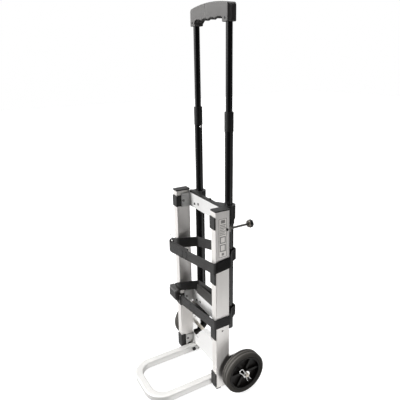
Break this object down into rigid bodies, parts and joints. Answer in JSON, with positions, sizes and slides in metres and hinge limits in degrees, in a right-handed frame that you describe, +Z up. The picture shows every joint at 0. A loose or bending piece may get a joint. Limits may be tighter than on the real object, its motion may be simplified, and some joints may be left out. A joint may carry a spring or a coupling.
{
  "type": "folding hand truck",
  "caption": "Light folding hand truck: box-section frame, pull-out two-stage handle, folding toe loop, two wheels on an axle and webbing straps for the load.",
  "frame": {"origin": "on the floor, centred side to side and front to back under the truck", "axes": "+Z up, -Y towards the toe loop and the load, +X to the truck's own side with the rear rod and knob"},
  "size_m": [0.33, 0.3028, 0.99],
  "materials": {
    "post_metal": "satin anodised",
    "toe_metal": "satin, brushed along its length",
    "block_metal": "machined",
    "white_sheet": "white powder coat",
    "black_tube": "gloss black",
    "black_plastic": "moulded, fine grain",
    "dark_plastic": "moulded, fine grain",
    "collar_plastic": "semi-gloss",
    "bush_plastic": "plain",
    "grip_plastic": "fine grain",
    "hub_plastic": "moulded",
    "knob_plastic": "moulded",
    "buckle_plastic": "gloss",
    "zinc": "bright zinc plate",
    "rivet_metal": "plain",
    "dark_screw": "black oxide",
    "spring_steel": "plain",
    "button_chrome": "bright",
    "pad_rubber": "matt, ribbed",
    "tyre_rubber": "matt, ribbed tread",
    "webbing": "woven polyester webbing",
    "label_film": "blank film"
  },
  "bodies": {
    "frame": {"left_post": "post_metal", "right_post": "post_metal", "post_caps": "black_plastic", "post_foot_plugs": "black_plastic", "left_pads": "pad_rubber", "right_pads": "pad_rubber", "top_crossbar": "white_sheet", "mid_crossbar": "white_sheet", "lower_plate": "white_sheet", "top_tube_holder": "black_plastic", "lower_tube_holder": "dark_plastic", "left_outer_tube": "black_tube", "right_outer_tube": "black_tube", "tube_feet": "black_plastic", "frame_rivets": "rivet_metal", "holder_screws": "dark_screw", "left_axle_bracket": "zinc", "right_axle_bracket": "zinc", "bracket_bolts": "zinc", "axle": "zinc", "axle_spacers": "black_plastic", "axle_washers": "zinc", "axle_clips": "zinc", "left_hinge_block": "block_metal", "right_hinge_block": "block_metal", "toe_pivot_bolts": "dark_screw", "toe_spacers": "black_plastic", "upper_strap": "webbing", "lower_strap": "webbing", "upper_strap_hook": "zinc", "lower_strap_buckle": "buckle_plastic", "rod_bracket": "block_metal", "rod_screw": "dark_screw", "rear_rod": "zinc", "rod_washer": "zinc", "blank_label": "label_film"},
    "middle_stage": {"left_middle_tube": "black_tube", "right_middle_tube": "black_tube", "left_collar": "collar_plastic", "right_collar": "collar_plastic", "middle_bushes": "bush_plastic", "lower_button_springs": "spring_steel"},
    "handle": {"left_upper_tube": "black_tube", "right_upper_tube": "black_tube", "upper_bushes": "bush_plastic", "upper_button_springs": "spring_steel", "grip_front": "grip_plastic", "grip_rear": "grip_plastic", "grip_screws": "dark_screw"},
    "left_lower_pin": {"left_lower_button": "button_chrome"},
    "right_lower_pin": {"right_lower_button": "button_chrome"},
    "left_upper_pin": {"left_upper_button": "button_chrome"},
    "right_upper_pin": {"right_upper_button": "button_chrome"},
    "toe": {"toe_loop": "toe_metal", "toe_end_plugs": "black_plastic"},
    "left_wheel": {"left_tyre": "tyre_rubber", "left_hub": "hub_plastic"},
    "right_wheel": {"right_tyre": "tyre_rubber", "right_hub": "hub_plastic"},
    "knob": {"knob": "knob_plastic"}
  },
  "joints": [
    {"name": "middle_slide", "type": "slide", "parent": "frame", "child": "middle_stage", "axis": [0, 0, 1], "range_m": [-0.172, 0], "deforming": ["left_lower_button", "right_lower_button"]},
    {"name": "handle_slide", "type": "slide", "parent": "middle_stage", "child": "handle", "axis": [0, 0, 1], "range_m": [-0.176, 0], "deforming": ["left_upper_button", "right_upper_button"]},
    {"name": "toe_fold", "type": "hinge", "parent": "frame", "child": "toe", "pos_m": [0, 0.0516, 0.01], "axis": [-1, 0, 0], "range_deg": [0, 90], "deforming": ["lower_strap"]},
    {"name": "left_wheel_spin", "type": "hinge", "parent": "frame", "child": "left_wheel", "pos_m": [-0.143, 0.0914, 0.06], "axis": [1, 0, 0], "continuous": true},
    {"name": "right_wheel_spin", "type": "hinge", "parent": "frame", "child": "right_wheel", "pos_m": [0.143, 0.0914, 0.06], "axis": [1, 0, 0], "continuous": true},
    {"name": "knob_turn", "type": "hinge", "parent": "frame", "child": "knob", "pos_m": [0.106, 0.1316, 0.47], "axis": [0, 1, 0], "continuous": true},
    {"name": "left_lower_press", "type": "slide", "parent": "middle_stage", "child": "left_lower_pin", "axis": [1, 0, 0], "range_m": [-0.0032, 0], "stiffness_N_per_m": 1500, "springref_m": 0.002, "deforming": ["lower_button_springs"]},
    {"name": "right_lower_press", "type": "slide", "parent": "middle_stage", "child": "right_lower_pin", "axis": [-1, 0, 0], "range_m": [-0.0032, 0], "stiffness_N_per_m": 1500, "springref_m": 0.002, "deforming": ["lower_button_springs"]},
    {"name": "left_upper_press", "type": "slide", "parent": "handle", "child": "left_upper_pin", "axis": [1, 0, 0], "range_m": [-0.003, 0], "stiffness_N_per_m": 1500, "springref_m": 0.002, "deforming": ["upper_button_springs"]},
    {"name": "right_upper_press", "type": "slide", "parent": "handle", "child": "right_upper_pin", "axis": [-1, 0, 0], "range_m": [-0.003, 0], "stiffness_N_per_m": 1500, "springref_m": 0.002, "deforming": ["upper_button_springs"]}
  ]
}
